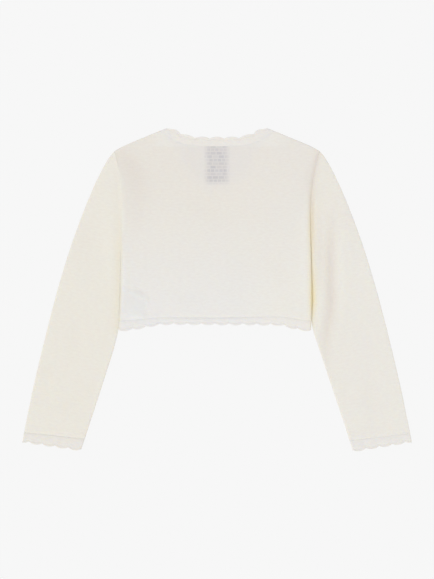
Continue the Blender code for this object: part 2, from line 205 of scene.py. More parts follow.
FRONT_BAND = 14.0  # width of the plain band on each front edge
FRONT_OPENING = 1.0  # space between the two front bands
FRONTS_SHORTER = 1.5  # how much less far the fronts' hem edging reaches down than the back's
CUFF_EDGING = {"left": (16.0, 12.3), "right": (14.8, 11.0)}  # its width at the inner and outer edge
SEAM = 0.02  # space between two pieces that are sewn together
print("pattern tables for", len(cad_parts), "pieces")

# %% [markdown]
# ## Lines
# A few helpers turn the tables into smooth lines and cut stretches out of them. They work on whole
# arrays of points, because a sheet has twenty thousand and a loop over them would be slow.

# %% Smooth lines from the tables
LINE_STEPS = 8  # points on a smooth line between two that are given
CUT_STEPS = 60  # points on a stretch that is cut out of such a line
CROSSING_TRIES = 6  # rounds in which the place where two lines meet is closed in on


def smooth_line(points):
    """A dense line that passes softly through the given points."""
    given = np.array(points, float)
    ends = np.vstack([2 * given[0] - given[1], given, 2 * given[-1] - given[-2]])
    line = []
    for a, b, c, d in zip(ends, ends[1:], ends[2:], ends[3:]):
        for t in np.arange(LINE_STEPS) / LINE_STEPS:
            bend = (2 * a - 5 * b + 4 * c - d) * t**2 + (3 * b - 3 * c + d - a) * t**3
            line.append(b + 0.5 * ((c - a) * t + bend))
    return np.array(line + [given[-1]])


def mirrored(points, side):
    """Points given for the right side, on either side."""
    return np.array(points, float) * (SIDES[side], 1)


def both_halves(points):
    """A smooth line from left to right through the points of its right half."""
    return smooth_line([(-x, y) for x, y in reversed(points[1:])] + points)


def travelled(line):
    """The distance along a line to each of its points."""
    return np.concatenate([[0], np.cumsum(np.hypot(*np.diff(line, axis=0).T))])


def along(line, share):
    """The points at some shares of the line's length."""
    far = travelled(line)
    where = np.asarray(share, float) * far[-1]
    return np.stack([np.interp(where, far, line[:, k]) for k in (0, 1)], axis=-1)


def height_at(line, across):
    """How high a line that runs across the garment is at a place across."""
    order = np.argsort(line[:, 0])
    return np.interp(across, line[order, 0], line[order, 1])


def across_at(line, height):
    """How far across a line that runs down the garment is at a height."""
    return np.interp(-np.asarray(height), -line[:, 1], line[:, 0])


def upright(line, low, high):
    """The part between two heights of a line that runs down the garment, turned to run up."""
    heights = np.linspace(low, high, CUT_STEPS)
    return np.column_stack([across_at(line, heights), heights])


def between(line, start, end):
    """The part of a line from one place across to another."""
    across = np.linspace(start, end, CUT_STEPS)
    return np.column_stack([across, height_at(line, across)])


def crossing(line, down):
    """Where a line that runs across the garment meets one that runs down it."""
    across = down[-1, 0]
    for _ in range(CROSSING_TRIES):
        across = float(across_at(down, height_at(line, across)))
    return across, float(height_at(line, across))


def shifted(line, distance):
    """A line moved sideways, to its left as it runs."""
    run = np.gradient(line, axis=0)
    run /= np.hypot(*run.T)[:, None]
    return line + distance * np.column_stack([-run[:, 1], run[:, 0]])


def nearest(points, line):
    """How far each point is from a line, and the line's own values nearest to it."""
    start, step = line[:-1], np.diff(line, axis=0)
    flat = step[:, :2]
    share = np.clip(((points[:, None] - start[:, :2]) * flat).sum(-1) / (flat**2).sum(-1), 0, 1)
    feet = start[:, :2] + share[..., None] * flat
    gaps = np.hypot(*(feet - points[:, None]).transpose(2, 0, 1))
    row, best = np.arange(len(points)), gaps.argmin(1)
    return gaps[row, best], start[best] + share[row, best][:, None] * step[best]


SHOULDER_LINE = {side: smooth_line(mirrored(SHOULDER, side)) for side in SIDES}
BODY_EDGE = {side: smooth_line(mirrored(BODY_SIDE[side], side)) for side in SIDES}
HEM_SEAM = smooth_line([(across, seam) for across, seam, edge in HEM])
HEM_EDGE = smooth_line([(across, edge) for across, seam, edge in HEM])
NECK_POINT, TOP = SHOULDER[0][0], SHOULDER[-1][1]
ABOVE_HEM = HEM_SEAM + (0, SEAM)  # where the body's pieces end
CORNER = {side: crossing(ABOVE_HEM, BODY_EDGE[side]) for side in SIDES}
SIDE_LINE = {side: upright(BODY_EDGE[side], CORNER[side][1], TOP) for side in SIDES}
ON_SHOULDER = (NECK_SEAM_END, float(height_at(SHOULDER_LINE["right"], NECK_SEAM_END)))
BACK_NECK = both_halves(BACK_NECK_SEAM + [ON_SHOULDER])
FRONT_NECK = smooth_line(FRONT_NECK_SEAM + [ON_SHOULDER])
FRONT_SEAM = {side: mirrored(shifted(FRONT_NECK, -SEAM), side) for side in SIDES}
print("shoulder, mm:", round(float(travelled(SHOULDER_LINE["right"])[-1]), 1))
print("neck seam on the back, mm:", round(float(travelled(BACK_NECK)[-1]), 1))

# %% [markdown]
# ## How the cloth lies
# Two layers lie on each other, so the back's face is about four millimetres above the floor. It
# stands higher beside the seams, where the cloth is doubled inside, and it sinks into the neck
# opening, where there is no front below it. At a free folded edge both layers roll over and meet
# half way up. Between the body and a sleeve they meet high on the left and low on the right.
# One function gives the upper face's height at any place, and another the lower face's, which
# rests on the floor.

# %% Heights of the upper and the lower layer
WALL = 1.3  # thickness of the knit
FOLD_SPACE = 0.4  # space between the back and the fronts where they meet at a folded edge
ROLL = 1.8  # how far in a free folded edge reaches before the cloth lies level
FREE_FOLD = (2.6, ROLL, 0.5)  # its middle height, that reach, and its power: 0.5 is a circle
FOLD_BESIDE = {  # the same for the folds between the body and a sleeve
    "left": {"body": (4.6, 4.5, 1.0), "sleeve": (4.6, 9.0, 1.0)},
    "right": {"body": (1.3, 3.2, 0.55), "sleeve": (1.3, 4.2, 0.6)},
}
BECOMES_FREE = (-30.0, -76.0)  # heights between which the sleeves' inner folds become free ones
BACK_HEIGHT, SLEEVE_HEIGHT, EDGE_HEIGHT = 4.1, 5.5, 5.1  # the last is that beside a seam
EDGE_REACH = 22.0  # how far from a seam the cloth still stands higher
NECK_SAG = 1.9  # how far the back sinks into the neck opening
NECK_SAG_MIDDLE, NECK_SAG_REACH = (0.0, 205.0), (48.0, 45.0)
SWELLS = [  # (height, length of a wave across, length of a wave up, its start)
    (0.22, 260, 230, 0.6),
    (0.18, 150, -310, 1.9),
    (0.12, 420, 120, 3.1),
    (0.05, 61, -47, 0.4),
    (0.04, -38, 53, 2.2),
]


def fade(value, start, end):
    """0 at start, 1 at end and soft between them."""
    t = np.clip((value - start) / (end - start), 0, 1)
    return t * t * (3 - 2 * t)


def bell(distance, reach):
    """1 at no distance, and softly down to nothing beyond a reach."""
    return np.exp(-((distance / reach) ** 2))


def roundness(gap, roll=ROLL, power=FREE_FOLD[2]):
    """0 at a folded edge and 1 where the cloth is level."""
    return (1 - (1 - np.clip(gap / roll, 0, 1)) ** 2) ** power


def fold_beside(side, piece, height):
    """The middle height, the reach and the power of the fold at a height beside the body."""
    free = fade(height, *BECOMES_FREE)
    both = zip(FOLD_BESIDE[side][piece], FREE_FOLD)
    return [beside + (alone - beside) * free for beside, alone in both]


def swell(points):
    """The soft unevenness of cloth that was smoothed out by hand."""
    x, y = points.T
    waves = [(high, x / across + y / up, start) for high, across, up, start in SWELLS]
    return sum(high * np.sin(2 * math.pi * way + start) for high, way, start in waves)


def rolled_down(layer, side, height):
    """How far a layer is rolled down beside the body, from 0 to 1."""
    return fade(height, *ROLLS_DOWN[layer][side])


def from_edge(points):
    """How far each point is from the body's nearest folded edge."""
    lines = [line[side] for line in (BODY_EDGE, SHOULDER_LINE) for side in SIDES]
    return np.min([nearest(points, line)[0] for line in lines], axis=0)


def folded(points, level, layer):
    """A body layer's height, once it is rolled towards the other one at shoulders and sides."""
    space = FOLD_SPACE / 2 if layer == "upper" else -FOLD_SPACE / 2
    for side in SIDES:
        middle = FREE_FOLD[0] + space
        level = middle + (level - middle) * roundness(nearest(points, SHOULDER_LINE[side])[0])
        gap, foot = nearest(points, BODY_EDGE[side])
        middle, reach, power = fold_beside(side, "body", foot[:, 1])
        rolled = rolled_down(layer, side, foot[:, 1]) * (1 - roundness(gap, reach, power))
        level = middle + space + (level - middle - space) * (1 - rolled)
    return level


print("level heights of the back and of the sleeves, mm:", BACK_HEIGHT, SLEEVE_HEIGHT)

# %% [markdown]
# ## Creases
# Cloth laid down by hand keeps a few soft creases. Each is a line with a half width, and with a
# depth at each of its points, above zero for a trough and below it for a ridge. The deepest runs
# down the wearer's right sleeve, another along that armhole, and a broad shallow one leads from
# the tip of the left shoulder into the back. The others are fainter, and uneven like them.

# %% Troughs and ridges
CREASES = {  # piece: [(half width, [(across, up, depth), ...])]
    "back": [
        (17, [(-148, 205, 0.8), (-128, 186, 1.3), (-120, 168, 1.3), (-118, 140, 0.9), (-120, 70, 0)]),
        (4, [(-145.5, 184, -0.2), (-144, 165, -0.8), (-142, 140, -1.1), (-140, 110, -0.9)]
            + [(-139.5, 85, -0.5)]),
        (5, [(-139.5, 85, 0), (-139.2, 50, -0.5), (-139, 20, -0.5), (-140, -20, -0.3)]),
        (7, [(133, 130, -0.1), (131, 100, -0.4), (131, 60, -0.4), (132, 0, -0.2)]),
        (9, [(152, 203, 0.8), (145, 180, 0.9), (142, 165, 1.1), (141, 145, 0.7), (140, 115, 0)]),
        (3, [(143, 150, 0), (141.2, 134, 1.0), (140.6, 112, 1.1), (140.6, 92, 0.6), (141, 72, 0)]),
        (14, [(-60, 150, 0), (-20, 118, 0.3), (34, 102, 0)]),
        (12, [(60, 62, 0), (92, 28, 0.3), (112, -14, 0)]),
        (10, [(-86, 20, 0), (-50, -12, 0.25), (4, -24, 0)]),
        (2.5, [(-6, 149, 0.1), (-10, 138, 0.3), (-13.5, 127, 0.1)]),
        (2.5, [(-6, 149, 0.1), (1, 141, 0.3), (7.5, 134, 0.1)]),
        (2.2, [(-139, 2, -0.2), (-121, -8, -0.8), (-107, -14, -1), (-104, -23, -0.7), (-109, -34, 0)]),
        (2.6, [(-125, 3, 0), (-117, -1.5, 1.0), (-110, -5, 0.7), (-100, -8, 0)]),
        (2.2, [(-102, -26, 0), (-105, -34, 0.6), (-109, -41, 0.3)]),
        (1.8, [(-137, -10, 0.2), (-137, -20, 0.5), (-138, -32, 0.2)]),
        (4.5, [(-137, -36, -0.5), (-128, -38, -1.2), (-118, -39, -1.1), (-108, -39, -0.3)]),
        (9, [(-138, -23, -0.4), (-122, -29, -0.6), (-109, -31, -0.3)]),
    ],
    "sleeve_right": [
        (8, [(172, 128, 0), (173, 92, 1.2), (171, 60, 2.1), (171.5, 10, 2.6), (171.5, -20, 2.5)]
            + [(167.5, -48, 2.0), (164, -72, 1.5), (163, -100, 0.8), (169, -145, 0)]),
        (7, [(155, 150, 0.1), (155, 100, 0.5), (155.5, 62, 0.9), (155, 20, 0.5), (154, 0, 0)]),
        (6, [(154, 0, 0), (153, -20, -0.4), (151, -58, -0.2)]),
        (7, [(153.5, 203, 0.8), (148, 180, 0.7), (145, 165, 0.7), (143.5, 145, 0.5), (142.5, 115, 0)]),
        (3, [(145, 146, 0), (143.2, 122, 1.6), (143, 92, 1.9), (143.6, 66, 0.8), (144, 45, 0)]),
        (9, [(186, 110, 0), (186, 60, -0.4), (187, 10, -0.4), (189, -70, 0)]),
        (9, [(212, -100, 0), (226, -150, 0.35), (231, -206, 0.2)]),
        (11, [(190, 150, 0.1), (203, 96, 0.3), (210, 40, 0)]),
    ],
    "sleeve_left": [
        (3, [(-147, 172, 0), (-144.5, 140, -0.4), (-144, 98, 0)]),
        (8, [(-213, -30, 0.1), (-215, -70, 0.4), (-213, -112, 0.1)]),
        (7, [(-234, -108, 0), (-252, -120, 0.35), (-266, -124, 0.2)]),
        (11, [(-178, 120, 0), (-196, 74, 0.3), (-204, 10, 0)]),
        (8, [(-168, 130, 0), (-162, 60, -0.35), (-160, -10, -0.1)]),
        (8, [(-190, -146, 0.1), (-224, -172, 0.3), (-250, -170, 0.1)]),
    ],
}
CREASE_LINES = {
    piece: [(half, smooth_line(points)) for half, points in found] for piece, found in CREASES.items()
}
# How far the cloth dips at an armhole's seam, and the dip's reach: the left seam stands up instead
ARMHOLE_DIP = {"left": (-0.3, 2.5), "right": (1.5, 2.8)}
SEAM_REACH = 1.5  # of the dips at the other seams


def armhole_dip(points):
    """How far it dips at the armholes' seams, above the places where the cloth rolls down."""
    total = np.zeros(len(points))
    for side, (depth, reach) in ARMHOLE_DIP.items():
        gap, foot = nearest(points, BODY_EDGE[side])
        total += depth * bell(gap, reach) * (1 - rolled_down("upper", side, foot[:, 1]))
    return total


def relief(piece, points):
    """How much the creases and the armholes' seams raise a piece's face, or lower it below 0."""
    total = np.zeros(len(points))
    for half, line in CREASE_LINES.get(piece, []):
        gap, foot = nearest(points, line)
        total -= foot[:, 2] * bell(gap, half)
    return total - armhole_dip(points)


print("creases:", {piece: len(found) for piece, found in CREASES.items()})

# %% [markdown]
# A tag in the left side seam lies between the back and the front. It can't be seen itself, but it
# presses through the knit, so it's made as a slightly raised patch with soft edges.

# %% The faces of the body
TAG = [(-140, 3), (-103, -16), (-110, -43), (-144, -40)]  # its corners, in order round it
TAG_RISE = 0.35
TAG_EDGE = 3.0  # over which it rises
TAG_TONE_EDGE = 9.0  # over which its tone fades


def inside(points, corners, soft):
    """1 inside a shape with straight sides, 0 outside it, and soft over a width at its edge."""
    corners = np.array(corners, float)
    share = np.ones(len(points))
    for a, b in zip(corners, np.roll(corners, -1, axis=0)):
        run = (b - a) / np.hypot(*(b - a))
        share = np.minimum(share, fade((points - a) @ (run[1], -run[0]), -soft / 2, soft / 2))
    return share


def upper_body(points):
    """Places on the outer face of the upper layer, which is the back."""
    held = np.exp(-from_edge(points) / EDGE_REACH)
    offset = (points - NECK_SAG_MIDDLE) / NECK_SAG_REACH
    sag = NECK_SAG * np.maximum(1 - (offset**2).sum(1), 0)
    level = EDGE_HEIGHT * held + (BACK_HEIGHT + swell(points)) * (1 - held) - sag
    level += relief("back", points) + TAG_RISE * inside(points, TAG, TAG_EDGE)
    return np.column_stack([points, folded(points, level, "upper")])


def lower_body(points):
    """Places on the outer face of the lower layer, which rests on the floor."""
    return np.column_stack([points, folded(points, np.zeros(len(points)), "lower")])


middle = upper_body(np.array([(0.0, 0.0), (0.0, 205.0), (-125.0, -20.0)]))[:, 2]
print("back's height in its middle, below the neck and over the tag, mm:", middle.round(2))

# %% [markdown]
# ## A sheet of cloth
# Every piece starts as a grid, whose points are then laid out as the outer face of the cloth. Its
# UV map holds each point's place on the flat cut in millimetres, so the knit runs along the piece
# whichever way it is turned. A Solidify modifier gives it a wall towards the inside, and a small
# Bevel rounds off the cut edges, since knit has no sharp corners.

# %% Helpers that make a sheet
GRID = 2.0  # mm between the points of a sheet
ROLL_TURNS = np.radians((0, 8, 20, 34, 48, 62, 76, 90))  # round a folded edge, where it has points
EDGE_ROUND = 0.12  # mm, of the bevel where a piece is sewn on
FREE_EDGE_ROUND = 0.3  # mm, on the edgings
SHARP = math.radians(55)  # an edge sharper than this is bevelled
MERGE = 0.01  # mm, within which the points of two sewn edges become one
sheets = {}


def shares(length, pitch, near=0.0, far=0.0):
    """Shares of a length: close over a folded edge at either end, and even between them."""
    turn = 1 - np.cos(ROLL_TURNS)
    first = near * turn / length if near else np.zeros(1)
    last = 1 - far * turn[::-1] / length if far else np.ones(1)
    steps = max(int(round((last[0] - first[-1]) * length / pitch)), 1)
    return np.concatenate([first, np.linspace(first[-1], last[0], steps + 1)[1:-1], last])


def panel(bottom, top, left=None, right=None):
    """Lays a piece out between four lines that meet at its corners, by shares across and up. A side
    that isn't given is straight."""
    left = np.array([bottom[0], top[0]]) if left is None else left
    right = np.array([bottom[-1], top[-1]]) if right is None else right

    def lay(u, v):
        low, high, near, far = along(bottom, u), along(top, u), along(left, v), along(right, v)
        u, v = u[:, None], v[:, None]
        corners = (1 - v) * ((1 - u) * left[0] + u * right[0]) + v * ((1 - u) * left[-1] + u * right[-1])
        return (1 - v) * low + v * high + (1 - u) * near + u * far - corners

    return lay


def grid_area(places, columns, rows):
    """The area of a grid's cells as they lie flat, in square millimetres."""
    p = places.reshape(rows, columns, 2)
    a, b = p[1:, 1:] - p[:-1, :-1], p[1:, :-1] - p[:-1, 1:]
    return float(np.abs(a[..., 0] * b[..., 1] - a[..., 1] * b[..., 0]).sum() / 2)


def apply_modifier(kind, **settings):
    """Adds a modifier to the piece at hand and applies it."""
    piece = bpy.context.object
    bpy.ops.object.modifier_add(type=kind)
    modifier = piece.modifiers[-1]
    for name, value in settings.items():
        setattr(modifier, name, value)
    bpy.ops.object.modifier_apply(modifier=modifier.name)


def cloth(name, columns, rows, place, turned=False, sewn=False, cut=None, edge=EDGE_ROUND):
    """A sheet of cloth with a wall. place takes arrays of columns and rows, and gives each point's
    place, its place on the flat cut, and where it lies flat, all in millimetres."""
    bpy.ops.object.select_all(action="DESELECT")
    bpy.ops.mesh.primitive_grid_add(x_subdivisions=columns - 1, y_subdivisions=rows - 1, size=1)
    piece = bpy.context.object
    piece.name = piece.data.name = name + "_cloth"
    mesh = piece.data
    flat = np.empty(len(mesh.vertices) * 3)
    mesh.vertices.foreach_get("co", flat)
    column, row = ((flat.reshape(-1, 3)[:, :2] + 0.5) * (columns - 1, rows - 1)).round().astype(int).T
    points, on_cut, lying = place(column, row)
    mesh.vertices.foreach_set("co", (points * MM).ravel())
    corner = np.empty(len(mesh.loops), int)
    mesh.loops.foreach_get("vertex_index", corner)
    mesh.uv_layers[0].name = "cut"
    mesh.uv_layers["cut"].uv.foreach_set("vector", on_cut[corner].astype(np.float32).ravel())
    area = grid_area(lying[np.lexsort((column, row))], columns, rows)
    bpy.ops.object.mode_set(mode="EDIT")
    bpy.ops.mesh.select_all(action="SELECT")
    if sewn:
        bpy.ops.mesh.remove_doubles(threshold=MERGE * MM)
    if turned:
        bpy.ops.mesh.flip_normals()
    bpy.ops.object.mode_set(mode="OBJECT")
    apply_modifier("SOLIDIFY", thickness=WALL * MM, offset=-1, material_offset=1, material_offset_rim=0)
    apply_modifier("BEVEL", width=edge * MM, segments=2, limit_method="ANGLE", angle_limit=SHARP)
    bpy.ops.object.shade_smooth()
    width, length = cut or np.ptp(lying, axis=0)
    sheets[name] = (piece, (width * MM, length * MM), area * MM**2)
    print(f"{name}: cut {width:.0f} x {length:.0f} mm, {area / 100:.0f} cm2, {len(mesh.polygons)} faces")
    return piece


# %% [markdown]
# ## The back
# The back runs from the hem's seam to the shoulders and the neck's seam. Its columns and rows
# stand closer together where the cloth rolls over at the sides and the shoulders, so that the
# roll is round.
#
# Beside each seam the knit dips a little, because the linked stitches pull it together, and it
# does so most in the middle of the hem.

# %% Back
HEM_DIP = (1.3, 0.6)  # mm, in the hem's middle and at its sides
HEM_DIP_FROM = (40, 90)  # mm out, where the first passes into the second
NECK_DIP = 0.15


def seam_dip(points):
    """How far the cloth dips at the seams of the hem, which is below 0, and of the neck."""
    middle, sides = HEM_DIP
    hem = middle + (sides - middle) * fade(np.abs(points[:, 0]), *HEM_DIP_FROM)
    return np.where(points[:, 1] < 0, hem, NECK_DIP)


def back_face(flat):
    """The outer face of the back, with the dips at its seams."""
    points = upper_body(flat)
    gaps = flat[:, 1] - height_at(ABOVE_HEM, flat[:, 0]), nearest(flat, BACK_NECK)[0]
    points[:, 2] -= seam_dip(flat) * sum(bell(gap, SEAM_REACH) for gap in gaps)
    return points


def body_piece(name, lines, across, up, face, turned=False):
    """A piece of the body between four lines, by shares across and up, on a face of the body."""
    lay = panel(*lines)

    def place(column, row):
        flat = lay(across[column], up[row])
        return face(flat), flat, flat

    return cloth(name, len(across), len(up), place, turned)


left, right = SIDE_LINE.values()
seam = shifted(BACK_NECK, -SEAM)
to_neck = between(SHOULDER_LINE["left"], left[-1, 0], seam[0, 0])
from_neck = between(SHOULDER_LINE["right"], seam[-1, 0], right[-1, 0])
top = np.vstack([to_neck, seam[1:-1], from_neck])
bottom = between(ABOVE_HEM, CORNER["left"][0], CORNER["right"][0])
across = shares(travelled(bottom)[-1], GRID, ROLL, ROLL)
up = shares(travelled(left)[-1], GRID, GRID, ROLL)
back = body_piece("back", (bottom, top, left, right), across, up, back_face)

# %% [markdown]
# ## The fronts and their bands
# They lie below the back, face down on the floor, and show at the edges and from below. A plain
# band runs along each front edge, and the two bands meet edge to edge.

# %% Fronts and front bands
for side, sign in SIDES.items():
    outer, seam = SIDE_LINE[side], FRONT_SEAM[side]
    band_edge = sign * (FRONT_BAND + SEAM / 2)
    shoulder = between(SHOULDER_LINE[side], seam[-1, 0], outer[-1, 0])
    top = np.vstack([between(seam, band_edge, seam[-1, 0])[:-1], shoulder])
    bottom = between(ABOVE_HEM, band_edge, CORNER[side][0])
    across = shares(travelled(bottom)[-1], GRID, 0, ROLL)
    up = shares(travelled(outer)[-1], GRID, GRID, ROLL)
    body_piece("front_" + side, (bottom, top, None, outer), across, up, lower_body, side == "right")

for side, sign in SIDES.items():
    near, far = sign * FRONT_OPENING / 2, sign * (FRONT_BAND - SEAM / 2)
    bottom, top = between(ABOVE_HEM, near, far), between(FRONT_SEAM[side], near, far)
    across, up = shares(FRONT_BAND, GRID / 2), shares(top[0, 1] - bottom[0, 1], GRID)
    body_piece("front_band_" + side, (bottom, top), across, up, lower_body, side == "right")

# %% [markdown]
# ## The sleeves
# Each sleeve is a tube that lies flat. A point of it is given by a share along the sleeve and a way
# round it: from 0 to 1 across the upper layer, from the inner edge to the outer one, and on to 2
# back across the lower layer. The first and the last column are then sewn together. Above the
# underarm there is no inner edge to roll over, because the body's cloth goes on from there.

# %% Sleeves
CUFF_LOOK_BACK = 0.02  # share of a sleeve over which its run near the cuff is measured
NEAR_CUFF = (1.6, 0.8, 0.0)  # mm from the last three rows of a sleeve to its end
TUCKED = 0.25  # mm that the cap reaches under the body's edge, so that no gap shows
TINY = 0.01  # mm, the least run that is divided by
CUFF_DIP = {"left": 0.8, "right": 0.5}
VALLEY = {"left": 0.0, "right": 1.5}  # width of the gap's floor, which is the sleeve's own cloth
VALLEY_OPENS = (105.0, 10.0)  # heights between which it opens
VALLEY_CLOSES = (-50.0, -68.0)  # and those between which it closes again


def valley(side, height):
    """How wide the floor of the gap beside a sleeve is."""
    return VALLEY[side] * fade(height, *VALLEY_OPENS) * (1 - fade(height, *VALLEY_CLOSES))


def sleeve_surface(side):
    """Lays a sleeve out, by shares along it, ways round it and a distance beyond its end. Gives that
    function, the sleeve's length and a function for its width."""
    armhole = upright(BODY_EDGE[side], ALONGSIDE, CAP_START)[::-1] - (SIDES[side] * TUCKED, 0)
    below = smooth_line(np.vstack([armhole[-1], mirrored(SLEEVE_INNER[side], side)]))
    inner_edge = np.vstack([armhole, below[1:]])
    outer_edge = smooth_line(mirrored(SLEEVE_OUTER, side))

    def flat(t, share):
        return (1 - share)[:, None] * along(inner_edge, t) + share[:, None] * along(outer_edge, t)

    def width_at(t):
        return np.hypot(*(along(outer_edge, t) - along(inner_edge, t)).T)

    def lay(t, way, beyond=0.0):
        upper = way <= 1
        share = np.where(upper, way, 2 - way)
        points = flat(t, share)
        run = points - flat(t - CUFF_LOOK_BACK, share)
        points = points + run * (beyond / np.maximum(np.hypot(*run.T), TINY))[:, None]
        width, height = width_at(t), along(inner_edge, t)[:, 1]
        down = (rolled_down(layer, side, height) for layer in ("upper", "lower"))
        middle, reach, power = fold_beside(side, "sleeve", height)
        from_gap = share * width - np.where(upper, valley(side, height), 0)
        inner_fold = 1 - np.where(upper, *down) * (1 - roundness(from_gap, reach, power))
        outer_fold = roundness((1 - share) * width)
        held = np.exp(-nearest(points, BODY_EDGE[side])[0] / EDGE_REACH)
        level = EDGE_HEIGHT * held + (SLEEVE_HEIGHT + swell(points)) * (1 - held)
        level = np.where(upper, level + relief("sleeve_" + side, points), 0)
        level = middle + (level - middle) * inner_fold
        level = FREE_FOLD[0] + (level - FREE_FOLD[0]) * outer_fold
        return np.column_stack([points, level]), points, width

    return lay, travelled(inner_edge)[-1], width_at


def cuff_width(side, way):
    """How wide the cuff's edging is, at a way round the sleeve."""
    inner, outer = CUFF_EDGING[side]
    return inner + (outer - inner) * np.where(way <= 1, way, 2 - way)


def rows_round(widths, pitch):
    """The ways round a tube for each of its rows: all rows have as many."""
    steps = int(round((widths.max() - 2 * ROLL) / pitch))
    rows = []
    for width in widths:
        fold = min(ROLL, width / 4)
        upper = shares(width, (width - 2 * fold) / steps, fold, fold)
        rows.append(np.concatenate([upper, 2 - upper[-2::-1]]))
    return np.array(rows)


def make_sleeve(side):
    """Makes a sleeve, whose last rows follow the slant of the cuff's seam."""
    lay, length, width_at = sleeve_surface(side)
    last = 1 - (max(CUFF_EDGING[side]) + SEAM) / length
    near_cuff = last - np.array(NEAR_CUFF) / length
    rows = np.concatenate([np.linspace(0, last, int(length / GRID))[:-2], near_cuff])
    widths = width_at(rows)
    ways = rows_round(widths, GRID)

    def place(column, row):
        way = ways[row, column]
        end = 1 - (cuff_width(side, way) + SEAM) / length
        t = rows[row] * end / last
        points, lying, width = lay(t, way)
        dip = CUFF_DIP[side] * bell((end - t) * length, SEAM_REACH)
        points[:, 2] -= np.where(way <= 1, dip, 0)
        return points, np.column_stack([(way - 1) * width, t * length]), lying

    cut = (2 * widths.max(), length * last)
    cloth("sleeve_" + side, ways.shape[1], len(rows), place, side == "right", True, cut)


for side in SIDES:
    make_sleeve(side)

# %% [markdown]
# ## The scalloped edgings
# Neck, hem and cuffs end in a narrow knitted edging whose free edge is drawn into scallops about
# twenty millimetres apart. A scallop is a rounded sine, so its crests are broad and its notches
# tight. The last row of stitches is a cast-off chain, which stands up as a fine bead along the
# scallops, and the cloth dips where each notch draws it together.

# %% Scallops
SCALLOP_DEPTH = 3.2  # from a scallop's notch to its crest
SCALLOP_PITCH = 21.0  # along the hem and the neck
CUFF_SCALLOPS = 9  # round one cuff
SCALLOP_ROUNDNESS = 0.7  # below 1 the crests are broad and the notches narrow
SCALLOP_END = 14.0  # length over which the scallops fade out towards a shoulder
SCALLOP_GRID = 1.0  # mm between points along an edging
BEAD = 0.45  # how far the cast-off chain stands up
BEAD_WIDTH = 0.9
GROOVE = 0.6  # how deep the cloth lies behind it
GROOVE_AT = 2.7  # mm from the edge
NOTCH_DIP = 0.8  # how far the cloth dips at a notch
NOTCH_WIDTH = 0.1  # of that dip, as a share of a scallop
EDGING_ROWS = 14


def scallop(count):
    """How far a scalloped edge stands out, at so many scallops along it."""
    return SCALLOP_DEPTH * np.abs(np.sin(math.pi * count)) ** SCALLOP_ROUNDNESS


def edging_relief(count, share, width, dip):
    """What bead, groove, notches and seam add to an edging's face, from its seam at 0 to its edge."""
    inward = (1 - share) * width
    bead = BEAD * bell(inward - BEAD_WIDTH, BEAD_WIDTH)
    bead -= GROOVE * bell(inward - GROOVE_AT, BEAD_WIDTH)
    notch = NOTCH_DIP * bell(count - np.round(count), NOTCH_WIDTH) * share**2
    return bead - notch - dip * bell(share * width, SEAM_REACH)


def make_edging(name, lines, upper, turned=False, fading=0):
    """A scalloped strip between its seam, its edge, which runs the same way, and its two ends. The
    scallops can fade out over a length, on the upper layer at both ends."""
    seam, edge = lines[:2]
    length = float(travelled(seam)[-1])
    count = round(float(travelled(edge)[-1]) / SCALLOP_PITCH)
    across = shares(length, SCALLOP_GRID, ROLL * upper, ROLL)
    up = np.linspace(0, 1, EDGING_ROWS + 1)
    lay = panel(*lines)

    def place(column, row):
        share, rise = across[column], up[row]
        out = scallop(share * count) * rise
        if fading:
            to_end = np.minimum(share, 1 - share) if upper else 1 - share
            out *= fade(to_end * length, 0, fading)
        run = lay(share, np.ones(len(share))) - lay(share, np.zeros(len(share)))
        width = np.hypot(*run.T)
        flat = lay(share, rise) + run / width[:, None] * out[:, None]
        points = (upper_body if upper else lower_body)(flat)
        lift = edging_relief(share * count, rise, width, seam_dip(flat))
        points[:, 2] += upper * roundness(from_edge(flat)) * lift
        return points, np.column_stack([share * length, rise * width]), flat

    cut = (length, float(np.hypot(*(edge - seam).T).max()) + SCALLOP_DEPTH)
    cloth(name, len(across), len(up), place, turned, cut=cut, edge=FREE_EDGE_ROUND)


print("scallops round a cuff:", CUFF_SCALLOPS, "and each", SCALLOP_DEPTH, "mm deep")

# %% [markdown]
# ### On the hem
# One strip goes along the back and one along each front, parted at the side seams.

# %% Hem edging
def side_end(side, edge):
    """The end of a hem strip, which follows the body's side from the seam to the edge."""
    low, high = crossing(edge, BODY_EDGE[side])[1], crossing(HEM_SEAM, BODY_EDGE[side])[1]
    return upright(BODY_EDGE[side], low, high)[::-1]


left, right = (side_end(side, HEM_EDGE) for side in SIDES)
seam = between(HEM_SEAM, right[0, 0], left[0, 0])
edge = between(HEM_EDGE, right[-1, 0], left[-1, 0])
make_edging("hem_edging_back", (seam, edge, right, left), True)

fronts_edge = HEM_EDGE + (0, FRONTS_SHORTER)
for side, sign in SIDES.items():
    end = side_end(side, fronts_edge)
    seam = between(HEM_SEAM, sign * FRONT_OPENING / 2, end[0, 0])
    edge = between(fronts_edge, sign * FRONT_OPENING / 2, end[-1, 0])
    make_edging("hem_edging_" + side, (seam, edge, None, end), False, side == "left")

# %% [markdown]
# ### At the neck
# The neck's edging is parted at the shoulders, where the scallops fade out.

# %% Neck edging
ends = [between(SHOULDER_LINE[s], sign * NECK_SEAM_END, sign * NECK_POINT) for s, sign in SIDES.items()]
seam = between(BACK_NECK, -NECK_SEAM_END, NECK_SEAM_END)
edge = between(both_halves(BACK_NECK_EDGE), -NECK_POINT, NECK_POINT)
make_edging("neck_edging_back", (seam, edge, *ends), True, fading=SCALLOP_END)

for (side, sign), end in zip(SIDES.items(), ends):
    middle = sign * FRONT_OPENING / 2
    seam = between(mirrored(FRONT_NECK, side), middle, sign * NECK_SEAM_END)
    edge = between(mirrored(smooth_line(FRONT_NECK_EDGE), side), middle, sign * NECK_POINT)
    make_edging("neck_edging_" + side, (seam, edge, None, end), False, side == "right", SCALLOP_END)

